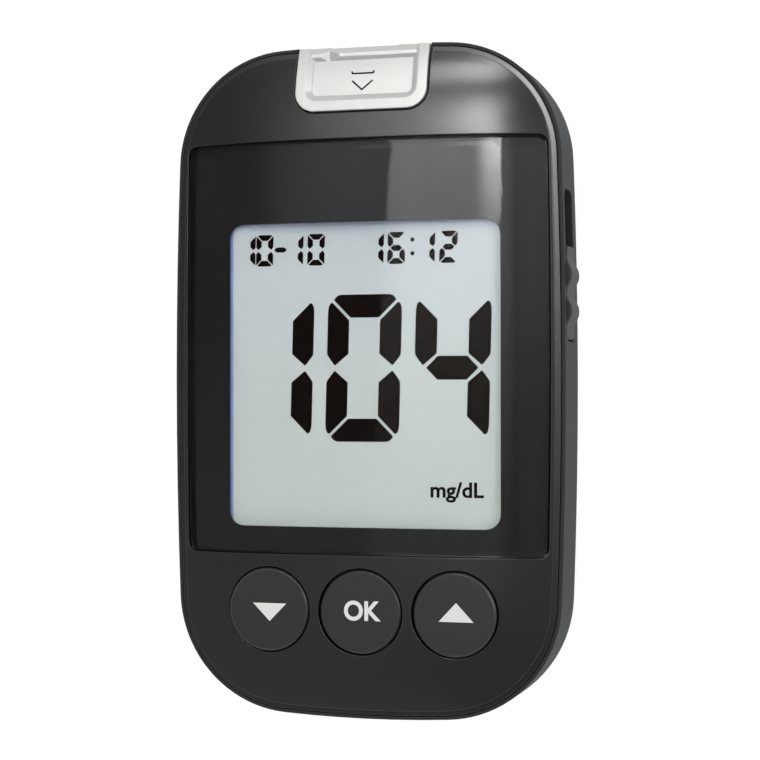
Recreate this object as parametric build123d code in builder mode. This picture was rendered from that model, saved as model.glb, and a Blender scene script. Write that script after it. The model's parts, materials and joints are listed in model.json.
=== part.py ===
from build123d import *
import os

# Blood glucose meter, in millimetres.
# The origin is the centre of the flat back. +X is to the right of the display,
# +Y is towards the test strip port, and +Z comes out of the display.

# Case: plan outline where the front and back shells meet
half_width = 27.9
half_length = 46.91
top_shoulder = (26.70, 45.47)
bottom_shoulder = (26.63, -44.96)
top_corner_radius = 15.8
bottom_corner_radius = 16.5

# Case: heights above the flat back
wall = 1.5
front_wall = 1.7
side_inset = 1.9
joint_height = 14.9
back_rim_height = 15.5
lip_height = 15.65
lip_width = 0.95
lip_inset = 0.25
lip_slope_width, lip_slope_height = 0.62, 0.06
tongue_foot = 13.6
tongue_inset = 0.7
seam_gap = 0.15
front_cut = (10, 20)

# Back shell: the wall leans out from the rim, then turns under
back_draft = 1.72
back_foot_overhang = 0.845
back_edge_radius = 6.5
back_inner_slope = 3.0
rim_chamfer = 0.15
step_inset = 0.6

# Crowned front face
crown_top = 18.4
crown_side_drop = 2.5
crown_side_reach = 26.95
crown_end_drop = 2.3
crown_flat_half_length = 27.0
crown_end_reach = 18.96
crown_power = 3.5

# Display window
lens_thickness = 1.2
tape_thickness = 0.15
lens_gap = 0.17
lens_half_width = 26.24
lens_end_half_width = 25.93
lens_bottom, lens_top = -24.1, 33.5
lens_top_bow = 0.2
lens_corner_radius = 1.2
shelf_drop = 2.15
shelf_margin = 1.2
window_centre = (-0.1, 0.9)
window_size = (39.15, 42.64)
window_corner_radius = 2.1

# Liquid crystal display
lcd_half_width = 21.6
lcd_bottom, lcd_top = -23.0, 25.4
lcd_ledge = 1.8
lcd_glass = 0.9
lcd_foil = 0.2
lcd_face = 15.7
lcd_clearance = 0.15
frame_clearance = 0.1
frame_half_width = 22.5
frame_bottom, frame_top = -24.0, 26.2
frame_height = 14.75
zebra_half_length = 20.0
zebra_width = 1.3

# Circuit board
board_top = 13.5
board_thickness = 1.0
board_inset = 3.0
board_hole_clearance = 0.5
pusher_slot = (26.9, 36.4)
board_underside = board_top - board_thickness
board_cut = (board_underside - 1, board_top + 1)
buzzer_place = (-14, 22)
buzzer_radius, buzzer_height = 6, 3.2
sound_hole_radius, sound_hole_depth = 1, 0.6
chip_edge = 0.2

# Keys
key_names = ("down", "ok", "up")
key_pitch = 13.33
key_y = -32.03
key_radius = 5.82
key_hole_radius = 6.1
key_face = 18.27
key_flange_radius = 6.5
key_flange_foot = 15.0
key_flange_thickness = 0.6
key_sleeve_wall = 1.0
key_sleeve_foot = 15.7
key_edge = 0.25
dome_radius = 4.6
dome_skirt = 0.4
dome_head_radius = 3.3
dome_head_thickness = 0.7
contact_pill_radius = 1.5
sheet_size = (37.8, 10.0)
sheet_thickness = 0.4

# Test strip port
port_half_width = 9.45
port_bottom = 37.7
port_corner_radius = 2.8
port_gap = 0.3
port_proud = 0.3
port_rim_width = 1.4
port_slope = 0.8
port_slope_depth = 0.6
port_blank_ends = (36.0, 50.0)
tray_half_width = port_half_width - port_rim_width - port_slope
tray_bottom = port_bottom + port_rim_width + port_slope
tray_top = 45.1
tray_depth = 0.85
tray_corner_radius = 0.9
ridge_crest = 45.85
ridge_rise = 0.35
notch_left, notch_deepest, notch_right = -6.2, -5.1, -3.3
notch_depth = 0.45
apron_foot = 12.2
apron_start = 44.3
channel_half_width = 4.3
channel_floor, channel_roof = 14.0, 15.2
connector_half_width = 7.0
connector_back, connector_front = 28.5, 37.4
connector_height = 16.1
groove_half_width = 0.4
groove_depth = 0.65
contact_places = (-3.4, -2.3, 2.3, 3.4)
blade_width, blade_thickness = 0.6, 0.2
pusher_half_width = 1.0
pusher_slot_half_width = 1.5

# Strip ejector on the right-hand wall
recess_bottom, recess_top = 5.4, 26.45
recess_low, recess_high = 8.6, 14.4
recess_floor = 27.0
pad_inside, pad_thickness = 25.6, 2.6
pad_margin, pad_corner_radius = 1.0, 2.4
slider_bottom, slider_top = 5.65, 18.55
slider_low, slider_high = 8.75, 14.25
slider_land = 28.55
slider_ridge = 29.2
slider_inside = 26.0
slider_clearance = 0.15
slider_lean = 0.25
slider_corner_radius = 1.25
ridge_centres = (9.62, 14.62)
ridge_foot_half_width = 1.85
ridge_crest_half_width = 0.55
ridge_bend_radius = 1.9
slider_edge = 0.15
shank_bottom, shank_top = 6.7, 10.7
ejector_travel = 7.5
carriage_low, carriage_high = 9.8, 11.2
carriage_end = 25.2
carriage_bottom, arm_bottom, pusher_bottom, carriage_top = 6.7, 12.7, 27.2, 28.4
arm_half_width = 1.4
gusset = 5.0
rail_bottom, rail_top = 25.8, 36.5
rail_thickness = 1.0
rib_places, rib_thickness, rib_length = (8.0, 18.0), 1.0, 15.0

# Two AAA cells lying across the case, and their door
cell_radius = 5.25
cell_length = 44.5
cell_nub_radius = 1.9
cell_nub_length = 1.0
cell_axis_height = 7.05
cell_edge = 0.5
cell_rows = (-12.25, -23.15)
bay_half_width = 24.6
bay_bottom, bay_top = -29.2, -6.2
bay_wall = 1.0
bay_height = 12.2
contact_thickness = 0.3
contact_width = 8.0
contact_foot = 3.0
spring_width = 4.0
nub_gap = 0.9
door_half_width = 24.4
door_bottom, door_top = -29.8, -5.6
door_clearance = 0.15
door_corner_radius = 2.0
hook_places = (-14.0, 14.0)
hook_half_width = 2.5
hook_reach = 1.6
slit_places = (-6.1, 5.5)
slit_width, slit_length = 0.6, 7.5
grip_count, grip_pitch, grip_radius, grip_length = 4, 1.2, 0.35, 8.0
scoop_radius, scoop_depth = 4.9, 0.8

# Screws
case_screw_x, case_screw_y = 21.2, 37.5
case_post_radius = 2.3
case_column_radius = 3.1
post_foot = 9.0
case_pilot_radius = 0.9
case_hole_radius = 1.15
counterbore_radius = 2.35
counterbore_depth = 4.5
case_head_radius, case_head_height = 2.0, 1.6
case_screw_tip = 13.8
cross_half_length, cross_half_width, cross_depth = 1.2, 0.25, 0.9
board_screw_places = [(-20.0, 31.0), (20.0, 31.0), (0.0, -41.6)]
board_post_radius = 1.9
board_pilot_radius = 0.8
board_head_radius, board_head_height = 1.7, 1.2
board_screw_tip = 15.0


def case_outline(height, grow=0.0):
    """Plan outline of the case at the joint of its shells, grown or shrunk."""
    top_x, top_y = top_shoulder
    bottom_x, bottom_y = bottom_shoulder
    with BuildSketch(Plane.XY.offset(height)) as outline:
        with BuildLine():
            ThreePointArc((-bottom_x, bottom_y), (0, -half_length), (bottom_x, bottom_y))
            ThreePointArc((bottom_x, bottom_y), (half_width, 0), (top_x, top_y))
            ThreePointArc((top_x, top_y), (0, half_length), (-top_x, top_y))
            ThreePointArc((-bottom_x, bottom_y), (-half_width, 0), (-top_x, top_y))
        make_face()
        fillet(outline.vertices().group_by(Axis.Y)[0], bottom_corner_radius)
        fillet(outline.vertices().group_by(Axis.Y)[-1], top_corner_radius)
        if grow:
            offset(amount=grow)
    return outline.sketch


def lens_outline(height, grow=0.0):
    """Plan outline of the display lens, with slightly bowed sides and top."""
    end_x, middle_y = lens_end_half_width, (lens_bottom + lens_top) / 2
    with BuildSketch(Plane.XY.offset(height)) as outline:
        with BuildLine():
            Line((-end_x, lens_bottom), (end_x, lens_bottom))
            ThreePointArc((end_x, lens_bottom), (lens_half_width, middle_y), (end_x, lens_top))
            ThreePointArc((end_x, lens_top), (0, lens_top + lens_top_bow), (-end_x, lens_top))
            ThreePointArc((-end_x, lens_bottom), (-lens_half_width, middle_y), (-end_x, lens_top))
        make_face()
        fillet(outline.vertices(), lens_corner_radius)
        if grow:
            offset(amount=grow)
    return outline.sketch


def crown_height(x, y):
    """Height of the front face: nearly flat, falling away towards its edges."""
    across = abs(x) / crown_side_reach
    along = max(abs(y) - crown_flat_half_length, 0) / crown_end_reach
    return crown_top - crown_side_drop * across**crown_power - crown_end_drop * along**crown_power


def crown(drop=0.0):
    """The crowned front face, lowered by a drop, as one smooth surface."""
    columns = [29.0 * step / 12 for step in range(-12, 13)]
    rows = [49.0 * step / 20 for step in range(-20, 21)]
    points = [[(x, y, crown_height(x, y) - drop) for y in rows] for x in columns]
    return Face.make_surface_from_array_of_points(points, tol=0.002)


def block(x_range, y_range, z_range):
    """A box between two corners, made apart from any part."""
    size = [high - low for low, high in (x_range, y_range, z_range)]
    centre = [(high + low) / 2 for low, high in (x_range, y_range, z_range)]
    return Pos(*centre) * Box(*size, mode=Mode.PRIVATE)


def disc(x, y, z_range, radius):
    """An upright cylinder between two heights, made apart from any part."""
    low, high = z_range
    return Pos(x, y, (low + high) / 2) * Cylinder(radius, high - low, mode=Mode.PRIVATE)


def save(builder, name):
    builder.part.label = name
    export_step(builder.part, "parts/" + name + ".step")


os.makedirs("parts", exist_ok=True)
above = (0, 0, 1)
case_screw_places = [(x, y) for x in (-case_screw_x, case_screw_x) for y in (-case_screw_y, case_screw_y)]
key_places = [(key_pitch * step, key_y) for step in (-1, 0, 1)]

# Back shell -----------------------------------------------------------------
# A drafted tub with a wide rolled edge. The same tub gives the door its curve.
with BuildPart() as tub_filled:
    extrude(case_outline(0, back_foot_overhang), amount=back_rim_height, taper=back_draft)
    fillet(tub_filled.edges().group_by(Axis.Z)[0], back_edge_radius)

with BuildPart() as tub_core:
    extrude(case_outline(wall, back_foot_overhang - wall), amount=back_rim_height, taper=back_draft)
    chamfer(tub_core.edges().group_by(Axis.Z)[0], back_inner_slope)

with BuildPart() as tub:
    add(tub_filled.part)
    add(tub_core.part, mode=Mode.SUBTRACT)

# Walls, columns and ribs that stand on the floor, trimmed to the tub
with BuildPart() as back_inside:
    add(
        block(
            (-bay_half_width - bay_wall, bay_half_width + bay_wall),
            (bay_bottom - bay_wall, bay_top + bay_wall),
            (wall / 2, bay_height),
        )
    )
    for place in case_screw_places:
        add(disc(*place, (wall / 2, post_foot), case_column_radius))
    with BuildSketch(Plane.YZ.offset(pad_inside)) as slot_pad:
        with Locations(((recess_bottom + recess_top) / 2, (recess_low + recess_high) / 2)):
            pad_length = recess_top - recess_bottom + 2 * pad_margin
            RectangleRounded(pad_length, recess_high - recess_low + 2 * pad_margin, pad_corner_radius)
    extrude(amount=pad_thickness)
    above_recess = (recess_high, recess_high + 2 * pad_margin)
    pad_x = (pad_inside, pad_inside + pad_thickness)
    add(block(pad_x, (recess_bottom - 2, recess_top + 2), above_recess), mode=Mode.SUBTRACT)
    # Ribs under the ejector's carriage, and rails that guide its arm
    for rib_x in rib_places:
        rib_y = (carriage_bottom - 0.7, carriage_bottom - 0.7 + rib_length)
        add(block((rib_x, rib_x + rib_thickness), rib_y, (wall / 2, carriage_low - 0.1)))
    rail_gap = arm_half_width + 0.2
    for rail_x in ((-rail_gap - rail_thickness, -rail_gap), (rail_gap, rail_gap + rail_thickness)):
        add(block(rail_x, (rail_bottom, rail_top), (wall / 2, carriage_high)))
    add(tub_filled.part, mode=Mode.INTERSECT)

with BuildPart() as back_shell:
    add(tub.part)
    chamfer(back_shell.faces().sort_by(Axis.Z)[-1].outer_wire().edges(), rim_chamfer)
    add(back_inside.part)
    # The rim is stepped to take the tongue of the front shell
    extrude(case_outline(joint_height, seam_gap - lip_inset), amount=2, mode=Mode.SUBTRACT)
    extrude(case_outline(tongue_foot - 0.1, -step_inset), amount=3, mode=Mode.SUBTRACT)
    # Battery bay and its opening
    add(
        block((-bay_half_width, bay_half_width), (bay_bottom, bay_top), (wall + 0.1, bay_height + 1)),
        mode=Mode.SUBTRACT,
    )
    with BuildSketch() as door_opening:
        with Locations((0, (door_bottom + door_top) / 2)):
            RectangleRounded(
                2 * (door_half_width + door_clearance),
                door_top - door_bottom + 2 * door_clearance,
                door_corner_radius,
            )
    extrude(amount=2.3, mode=Mode.SUBTRACT)
    # Room for the door's two hooks as they tilt, and a scoop for the thumb at its latch
    for hook_x in hook_places:
        pocket_x = (hook_x - hook_half_width - 0.4, hook_x + hook_half_width + 0.4)
        pocket_y = (door_bottom - hook_reach - 0.4, bay_bottom + 0.2)
        add(block(pocket_x, pocket_y, (wall, 3.5)), mode=Mode.SUBTRACT)
    with BuildSketch() as thumb_scoop:
        with Locations((0, door_top + door_clearance)):
            Circle(scoop_radius)
            Rectangle(16, 8, align=(Align.CENTER, Align.MAX), mode=Mode.SUBTRACT)
    extrude(amount=scoop_depth, taper=40, mode=Mode.SUBTRACT)
    # Counterbored screw columns
    for place in case_screw_places:
        add(disc(*place, (-1, counterbore_depth), counterbore_radius), mode=Mode.SUBTRACT)
        add(disc(*place, (0, post_foot + 1), case_hole_radius), mode=Mode.SUBTRACT)
    # Recess for the slider, and the slot that its shank runs in
    with BuildSketch(Plane.YZ.offset(recess_floor)) as recess:
        with Locations(((recess_bottom + recess_top) / 2, (recess_low + recess_high) / 2)):
            RectangleRounded(recess_top - recess_bottom, recess_high - recess_low, 1.5)
    extrude(amount=3, mode=Mode.SUBTRACT)
    add(
        block(
            (pad_inside - 1, recess_floor + 1),
            (shank_bottom - 0.2, shank_top + ejector_travel + 0.2),
            (carriage_low - 0.2, carriage_high + 0.2),
        ),
        mode=Mode.SUBTRACT,
    )
    # Gap for the strip port
    gap_half_width = port_half_width + rim_chamfer
    add(block((-gap_half_width, gap_half_width), (42, 49), (apron_foot - 0.1, 16)), mode=Mode.SUBTRACT)
save(back_shell, "back_shell")

# Battery door: the part of the tub that closes the bay
with BuildPart() as battery_door:
    add(tub.part)
    with BuildSketch() as door_plan:
        with Locations((0, (door_bottom + door_top) / 2)):
            RectangleRounded(2 * door_half_width, door_top - door_bottom, door_corner_radius)
    extrude(amount=5, mode=Mode.INTERSECT)
    for hook_x in hook_places:
        hook_sides = (hook_x - hook_half_width, hook_x + hook_half_width)
        add(block(hook_sides, (door_bottom - hook_reach, door_bottom + hook_reach), (1.7, 2.7)))
        add(block(hook_sides, (door_bottom + 0.1, door_bottom + hook_reach), (1.0, 1.8)))
    # Springy latch tongue, freed by a slit on each side, with thumb grooves
    for slit_x in slit_places:
        slit_y = (door_top - slit_length, door_top + 0.5)
        add(block((slit_x, slit_x + slit_width), slit_y, (-1, 3)), mode=Mode.SUBTRACT)
    for groove in range(grip_count):
        with Locations((0, door_top - 1.8 - grip_pitch * groove, 0)):
            Cylinder(grip_radius, grip_length, rotation=(0, 90, 0), mode=Mode.SUBTRACT)
save(battery_door, "battery_door")

# Front shell ----------------------------------------------------------------
with BuildPart() as under_crown:
    extrude(case_outline(0, 0.5), amount=25)
    extrude(crown(), amount=12, dir=above, mode=Mode.SUBTRACT)

with BuildPart() as lens_seat:
    extrude(crown(lens_thickness + tape_thickness), amount=10, dir=above)
    extrude(lens_outline(8, lens_gap), amount=16, mode=Mode.INTERSECT)

# The plate under the lens hangs lower than the rest of the ceiling
with BuildPart() as lens_shelf:
    extrude(crown(shelf_drop), amount=10, dir=above)
    extrude(lens_outline(8, shelf_margin), amount=16, mode=Mode.INTERSECT)

with BuildPart() as front_cavity:
    extrude(case_outline(5, -side_inset), amount=15)
    extrude(crown(front_wall), amount=12, dir=above, mode=Mode.SUBTRACT)
    add(lens_shelf.part, mode=Mode.SUBTRACT)

with BuildPart() as front_shell:
    extrude(case_outline(tongue_foot, -tongue_inset), amount=joint_height - tongue_foot)
    extrude(case_outline(joint_height, -lip_inset), amount=lip_height - joint_height)
    lip_top = front_shell.faces().sort_by(Axis.Z)[-1]
    chamfer(lip_top.outer_wire().edges(), lip_slope_width, lip_slope_height, reference=lip_top)
    extrude(case_outline(joint_height, -lip_width), amount=5)
    add(under_crown.part, mode=Mode.INTERSECT)
    add(front_cavity.part, mode=Mode.SUBTRACT)
    # Screw posts and the sleeves that guide the keys
    for place in case_screw_places:
        add(disc(*place, (post_foot, 15.8), case_post_radius))
    for place in board_screw_places:
        add(disc(*place, (board_top, 15.9), board_post_radius))
    for place in key_places:
        add(disc(*place, (key_sleeve_foot, 16.6), key_hole_radius + key_sleeve_wall))
    for place in case_screw_places:
        add(disc(*place, (post_foot - 1, case_screw_tip + 0.7), case_pilot_radius), mode=Mode.SUBTRACT)
    for place in board_screw_places:
        add(disc(*place, (board_top - 1, board_screw_tip + 0.2), board_pilot_radius), mode=Mode.SUBTRACT)
    add(lens_seat.part, mode=Mode.SUBTRACT)
    add(
        block(
            (-lcd_half_width - lcd_clearance, lcd_half_width + lcd_clearance),
            (lcd_bottom - lcd_clearance, lcd_top + lcd_clearance),
            front_cut,
        ),
        mode=Mode.SUBTRACT,
    )
    for place in key_places:
        add(disc(*place, front_cut, key_hole_radius), mode=Mode.SUBTRACT)
    # Gap for the strip port, and a notch in the tongue behind the slider
    with BuildSketch(Plane.XY.offset(10)) as port_gap_plan:
        with Locations((0, port_bottom - port_gap)):
            Rectangle(2 * (port_half_width + port_gap), 14, align=(Align.CENTER, Align.MIN))
        fillet(port_gap_plan.vertices().group_by(Axis.Y)[0], port_corner_radius + port_gap)
    extrude(amount=10, mode=Mode.SUBTRACT)
    add(block((24, 28), (recess_bottom - 1.3, recess_top + 1.3), (13, 14.5)), mode=Mode.SUBTRACT)
save(front_shell, "front_shell")

# Display lens and the tape that holds it and masks its edge --------------------
with BuildPart() as display_lens:
    extrude(crown(lens_thickness), amount=lens_thickness, dir=above)
    extrude(lens_outline(8), amount=16, mode=Mode.INTERSECT)
save(display_lens, "display_lens")

with BuildPart() as lens_tape:
    extrude(crown(lens_thickness + tape_thickness), amount=tape_thickness, dir=above)
    extrude(lens_outline(8, -0.1), amount=16, mode=Mode.INTERSECT)
    with BuildSketch(Plane.XY.offset(8)) as window:
        with Locations(window_centre):
            RectangleRounded(*window_size, window_corner_radius)
    extrude(amount=16, mode=Mode.SUBTRACT)
save(lens_tape, "lens_tape")

# Liquid crystal display -------------------------------------------------------
lcd_width_range = (-lcd_half_width, lcd_half_width)
front_glass_foot = lcd_face - lcd_glass
rear_glass_foot = front_glass_foot - lcd_glass
foil_foot = rear_glass_foot - lcd_foil
with BuildPart() as lcd_front_glass:
    add(block(lcd_width_range, (lcd_bottom, lcd_top), (front_glass_foot, lcd_face)))
save(lcd_front_glass, "lcd_front_glass")

with BuildPart() as lcd_rear_glass:
    add(block(lcd_width_range, (lcd_bottom + lcd_ledge, lcd_top), (rear_glass_foot, front_glass_foot)))
save(lcd_rear_glass, "lcd_rear_glass")

with BuildPart() as lcd_reflector:
    add(block(lcd_width_range, (lcd_bottom + lcd_ledge, lcd_top), (foil_foot, rear_glass_foot)))
save(lcd_reflector, "lcd_reflector")

zebra_y = lcd_bottom + 0.1, lcd_bottom + 0.1 + zebra_width
with BuildPart() as zebra_strip:
    add(block((-zebra_half_length, zebra_half_length), zebra_y, (board_top, front_glass_foot)))
save(zebra_strip, "zebra_strip")

with BuildPart() as lcd_frame:
    with BuildSketch(Plane.XY.offset(board_top)) as frame_plan:
        with Locations((0, (frame_bottom + frame_top) / 2)):
            RectangleRounded(2 * frame_half_width, frame_top - frame_bottom, 0.8)
    extrude(amount=frame_height - board_top)
    add(
        block(
            (-lcd_half_width - frame_clearance, lcd_half_width + frame_clearance),
            (lcd_bottom + lcd_ledge - frame_clearance, lcd_top + frame_clearance),
            (foil_foot, frame_height + 1),
        ),
        mode=Mode.SUBTRACT,
    )
    add(
        block(
            (-zebra_half_length - frame_clearance, zebra_half_length + frame_clearance),
            (zebra_y[0] - frame_clearance, zebra_y[1] + frame_clearance),
            (board_top - 1, frame_height + 1),
        ),
        mode=Mode.SUBTRACT,
    )
save(lcd_frame, "lcd_frame")

# Circuit board and what is soldered to it ---------------------------------------
with BuildPart() as circuit_board:
    extrude(case_outline(board_underside, -board_inset), amount=board_thickness)
    for place in case_screw_places:
        add(disc(*place, board_cut, case_post_radius + board_hole_clearance), mode=Mode.SUBTRACT)
    for place in board_screw_places:
        add(disc(*place, board_cut, board_pilot_radius + 0.2), mode=Mode.SUBTRACT)
    slot_half_width = pusher_slot_half_width + 0.1
    add(block((-slot_half_width, slot_half_width), pusher_slot, board_cut), mode=Mode.SUBTRACT)
save(circuit_board, "circuit_board")

chips = {
    "processor_chip": ((-16.0, -6.0), (0.0, 10.0), 1.2),
    "front_end_chip": ((6.5, 11.5), (27.5, 32.5), 1.0),
    "quartz_crystal": ((-22.0, -19.6), (0.5, 7.5), 1.6),
}
for name, (chip_x, chip_y, height) in chips.items():
    with BuildPart() as chip:
        add(block(chip_x, chip_y, (board_underside - height, board_underside)))
        chamfer(chip.edges().group_by(Axis.Z)[0], chip_edge)
    save(chip, name)

with BuildPart() as buzzer:
    buzzer_face = board_underside - buzzer_height
    add(disc(*buzzer_place, (buzzer_face, board_underside), buzzer_radius))
    sound_hole = (buzzer_face - 1, buzzer_face + sound_hole_depth)
    add(disc(*buzzer_place, sound_hole, sound_hole_radius), mode=Mode.SUBTRACT)
save(buzzer, "buzzer")

# Keys, each on its own silicone dome -----------------------------------------
with BuildPart() as keypad_sheet:
    with BuildSketch(Plane.XY.offset(board_top)) as sheet_plan:
        with Locations((0, key_y)):
            RectangleRounded(*sheet_size, 3)
        with Locations(key_places):
            Circle(dome_radius + 0.2, mode=Mode.SUBTRACT)
    extrude(amount=sheet_thickness)
save(keypad_sheet, "keypad_sheet")

for name, (key_x, _) in zip(key_names, key_places):
    with BuildPart() as key:
        key_flange_top = key_flange_foot + key_flange_thickness
        add(disc(key_x, key_y, (key_flange_foot, key_flange_top), key_flange_radius))
        add(disc(key_x, key_y, (key_flange_foot, key_face), key_radius))
        chamfer(key.edges().group_by(Axis.Z)[-1], key_edge)
    save(key, "button_" + name)

    with BuildPart() as dome:
        with BuildSketch(Plane.XZ.offset(-key_y)) as dome_profile:
            foot, rim, top = board_top, board_top + dome_skirt, key_flange_foot
            ceiling = top - dome_head_thickness
            outside = [(dome_radius, foot), (dome_radius, rim), (dome_head_radius, top), (0, top)]
            pill = [(0, rim), (contact_pill_radius, rim), (contact_pill_radius, ceiling)]
            inside = [(dome_head_radius - 0.7, ceiling), (dome_radius - 0.8, foot)]
            with BuildLine():
                Polyline([(key_x + x, z) for x, z in outside + pill + inside], close=True)
            make_face()
        revolve(axis=Axis((key_x, key_y, 0), (0, 0, 1)))
    save(dome, "dome_" + name)

# Test strip port ----------------------------------------------------------------
def port_rim(y):
    """Height of the port's rim, which follows the crown a little above it."""
    return crown_height(0, y) + port_proud


def port_side(drop, edge_height):
    """Side view between the rim's curve, lowered by a drop, and a level edge."""
    start, end = port_blank_ends
    with BuildSketch(Plane.YZ) as side_view:
        with BuildLine():
            curve = [(y, port_rim(y) - drop) for y in (start, (start + end) / 2, end)]
            ThreePointArc(*curve)
            Polyline(curve[-1], (end, edge_height), (start, edge_height), curve[0])
        make_face()
    return side_view.sketch


with BuildPart() as tray_well:
    extrude(port_side(tray_depth, 20), amount=tray_half_width, both=True)
    add(block((-10, 10), (tray_bottom, 51), (10, 21)), mode=Mode.INTERSECT)
    upright = tray_well.edges().filter_by(Axis.Z).group_by(Axis.Y)[0]
    fillet(upright, tray_corner_radius)

with BuildPart() as strip_port:
    # Block with rounded inner corners under a curved rim
    with BuildSketch(Plane.XY.offset(board_top)) as port_plan:
        with Locations((0, port_bottom)):
            Rectangle(2 * port_half_width, port_blank_ends[1] - port_bottom, align=(Align.CENTER, Align.MIN))
        fillet(port_plan.vertices().group_by(Axis.Y)[0], port_corner_radius)
    extrude(amount=6)
    extrude(port_side(0, 10), amount=12, both=True, mode=Mode.INTERSECT)
    # Sunk tray, with slopes that run down to it from the rim
    add(tray_well.part, mode=Mode.SUBTRACT)
    rim = strip_port.faces().sort_by_distance((tray_half_width + 1, 42, port_rim(42)))[0]
    beside_tray = rim.edges().filter_by_position(Axis.X, -tray_half_width - 0.01, tray_half_width + 0.01)
    inner_edges = beside_tray.filter_by_position(Axis.Y, tray_bottom - 0.01, port_blank_ends[1])
    chamfer(inner_edges, length=port_slope, length2=port_slope_depth, reference=rim)
    # Ridge with a rounded crest across the open end
    with BuildSketch(Plane.YZ) as ridge_profile:
        foot = port_rim(tray_top) - tray_depth
        crest = foot + ridge_rise
        with BuildLine():
            Polyline(
                (tray_top, foot - 0.5),
                (tray_top, foot),
                (ridge_crest - 0.25, crest),
                (ridge_crest + 0.25, crest - 0.05),
                (48, crest - 1.8),
                close=True,
            )
        make_face()
        fillet(ridge_profile.vertices().group_by(Axis.Y)[1:3], 0.2)
    extrude(amount=tray_half_width + port_slope / 2, both=True)
    with BuildSketch(Plane.XZ.offset(-tray_top)) as ridge_notch:
        notch_floor = crest - notch_depth
        Polygon((notch_left, crest), (notch_deepest, notch_floor), (notch_right, crest + 0.05), align=None)
    extrude(amount=-2, mode=Mode.SUBTRACT)
    # Apron over the edge of the case, and the end that follows the case
    add(block((-port_half_width, port_half_width), (apron_start, 50), (apron_foot, 15)))
    extrude(case_outline(10, 0.2), amount=10, mode=Mode.INTERSECT)
    # Channel for the test strip, with a flared mouth
    add(
        block((-channel_half_width, channel_half_width), (36, 50), (channel_floor, channel_roof)),
        mode=Mode.SUBTRACT,
    )
    with BuildSketch(Plane.XZ.offset(-half_length - 0.3)) as mouth:
        with Locations((0, (channel_floor + channel_roof) / 2)):
            Rectangle(2 * channel_half_width + 1.4, channel_roof - channel_floor + 0.9)
    extrude(amount=0.7, taper=40, mode=Mode.SUBTRACT)
save(strip_port, "strip_port")

with BuildPart() as strip_connector:
    add(
        block(
            (-connector_half_width, connector_half_width),
            (connector_back, connector_front),
            (board_top, connector_height),
        )
    )
    channel_x = (-channel_half_width, channel_half_width)
    channel_y = (connector_back + 1, connector_front + 1)
    add(block(channel_x, channel_y, (channel_floor, channel_roof)), mode=Mode.SUBTRACT)
    add(
        block(
            (-pusher_slot_half_width, pusher_slot_half_width),
            (connector_back - 1, pusher_slot[1]),
            (board_top - 1, channel_roof),
        ),
        mode=Mode.SUBTRACT,
    )
    for contact_x in contact_places:
        groove_x = (contact_x - groove_half_width, contact_x + groove_half_width)
        groove_z = (channel_roof - 0.1, channel_roof + groove_depth)
        add(block(groove_x, (connector_back - 1, connector_front - 1.2), groove_z), mode=Mode.SUBTRACT)
save(strip_connector, "strip_connector")

# Four sprung blades: a foot on the board, a riser, and an arm that dips into the channel
with BuildPart() as strip_contacts:
    for contact_x in contact_places:
        riser, foot = connector_back - 0.3, board_top + blade_thickness / 2
        arm, dip = channel_roof + 0.3, channel_roof - 0.15
        bend, tip = riser + 4.8, riser + 7.4
        with BuildSketch(Plane.YZ.offset(contact_x - blade_width / 2)) as blade:
            with BuildLine():
                Polyline((riser - 1, foot), (riser, foot), (riser, arm), (bend, arm))
                Polyline((bend, arm), (bend + 1.2, dip), (tip, arm))
            trace(line_width=blade_thickness)
        extrude(amount=blade_width)
save(strip_contacts, "strip_contacts")

# Strip ejector ------------------------------------------------------------------
with BuildPart() as ejector_slider:
    # Thumb face with two ridges, leaning in towards its top
    face_height = slider_high - slider_low
    waves = []
    for centre in ridge_centres:
        foot, crest = ridge_foot_half_width, ridge_crest_half_width
        waves += [(slider_land, centre - foot), (slider_ridge, centre - crest)]
        waves += [(slider_ridge, centre + crest), (slider_land, centre + foot)]
    with BuildSketch(Plane.XY.offset(slider_low)) as thumb_face:
        with BuildLine():
            outside = [(slider_land, slider_bottom)] + waves + [(slider_land, slider_top)]
            Polyline(outside + [(slider_inside, slider_top), (slider_inside, slider_bottom)], close=True)
        make_face()
        bends = thumb_face.vertices().filter_by_position(Axis.Y, slider_bottom + 0.1, slider_top - 0.1)
        fillet(bends, ridge_bend_radius)
    extrude(amount=face_height, dir=(-slider_lean, 0, face_height))
    with BuildSketch(Plane.YZ.offset(recess_floor + slider_clearance)) as slider_front:
        with Locations(((slider_bottom + slider_top) / 2, (slider_low + slider_high) / 2)):
            RectangleRounded(slider_top - slider_bottom, face_height, slider_corner_radius)
    extrude(amount=4, mode=Mode.INTERSECT)
    innermost, outermost = slider_land - slider_lean - 0.1, slider_ridge + 0.1
    proud = ejector_slider.edges().filter_by_position(Axis.X, innermost, outermost)
    chamfer(proud.group_by(Axis.Z)[-1] + proud.group_by(Axis.Z)[0], slider_edge)
    # Shank that reaches in through the slot to the carriage
    shank_root = recess_floor + slider_clearance + 0.2
    add(block((carriage_end, shank_root), (shank_bottom, shank_top), (carriage_low, carriage_high)))
save(ejector_slider, "ejector_slider")

with BuildPart() as ejector_carriage:
    slab = (carriage_low, carriage_high)
    add(block((-arm_half_width, carriage_end), (carriage_bottom, arm_bottom), slab))
    add(block((-arm_half_width, arm_half_width), (arm_bottom, carriage_top), slab))
    pusher_x = (-pusher_half_width, pusher_half_width)
    add(block(pusher_x, (pusher_bottom, carriage_top), (carriage_low, channel_roof - 0.2)))
    with BuildSketch(Plane.XY.offset(carriage_low)) as corner_gusset:
        corner = (arm_half_width, arm_bottom)
        Polygon(corner, (corner[0] + gusset, corner[1]), (corner[0], corner[1] + gusset), align=None)
    extrude(amount=carriage_high - carriage_low)
save(ejector_carriage, "ejector_carriage")

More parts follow.
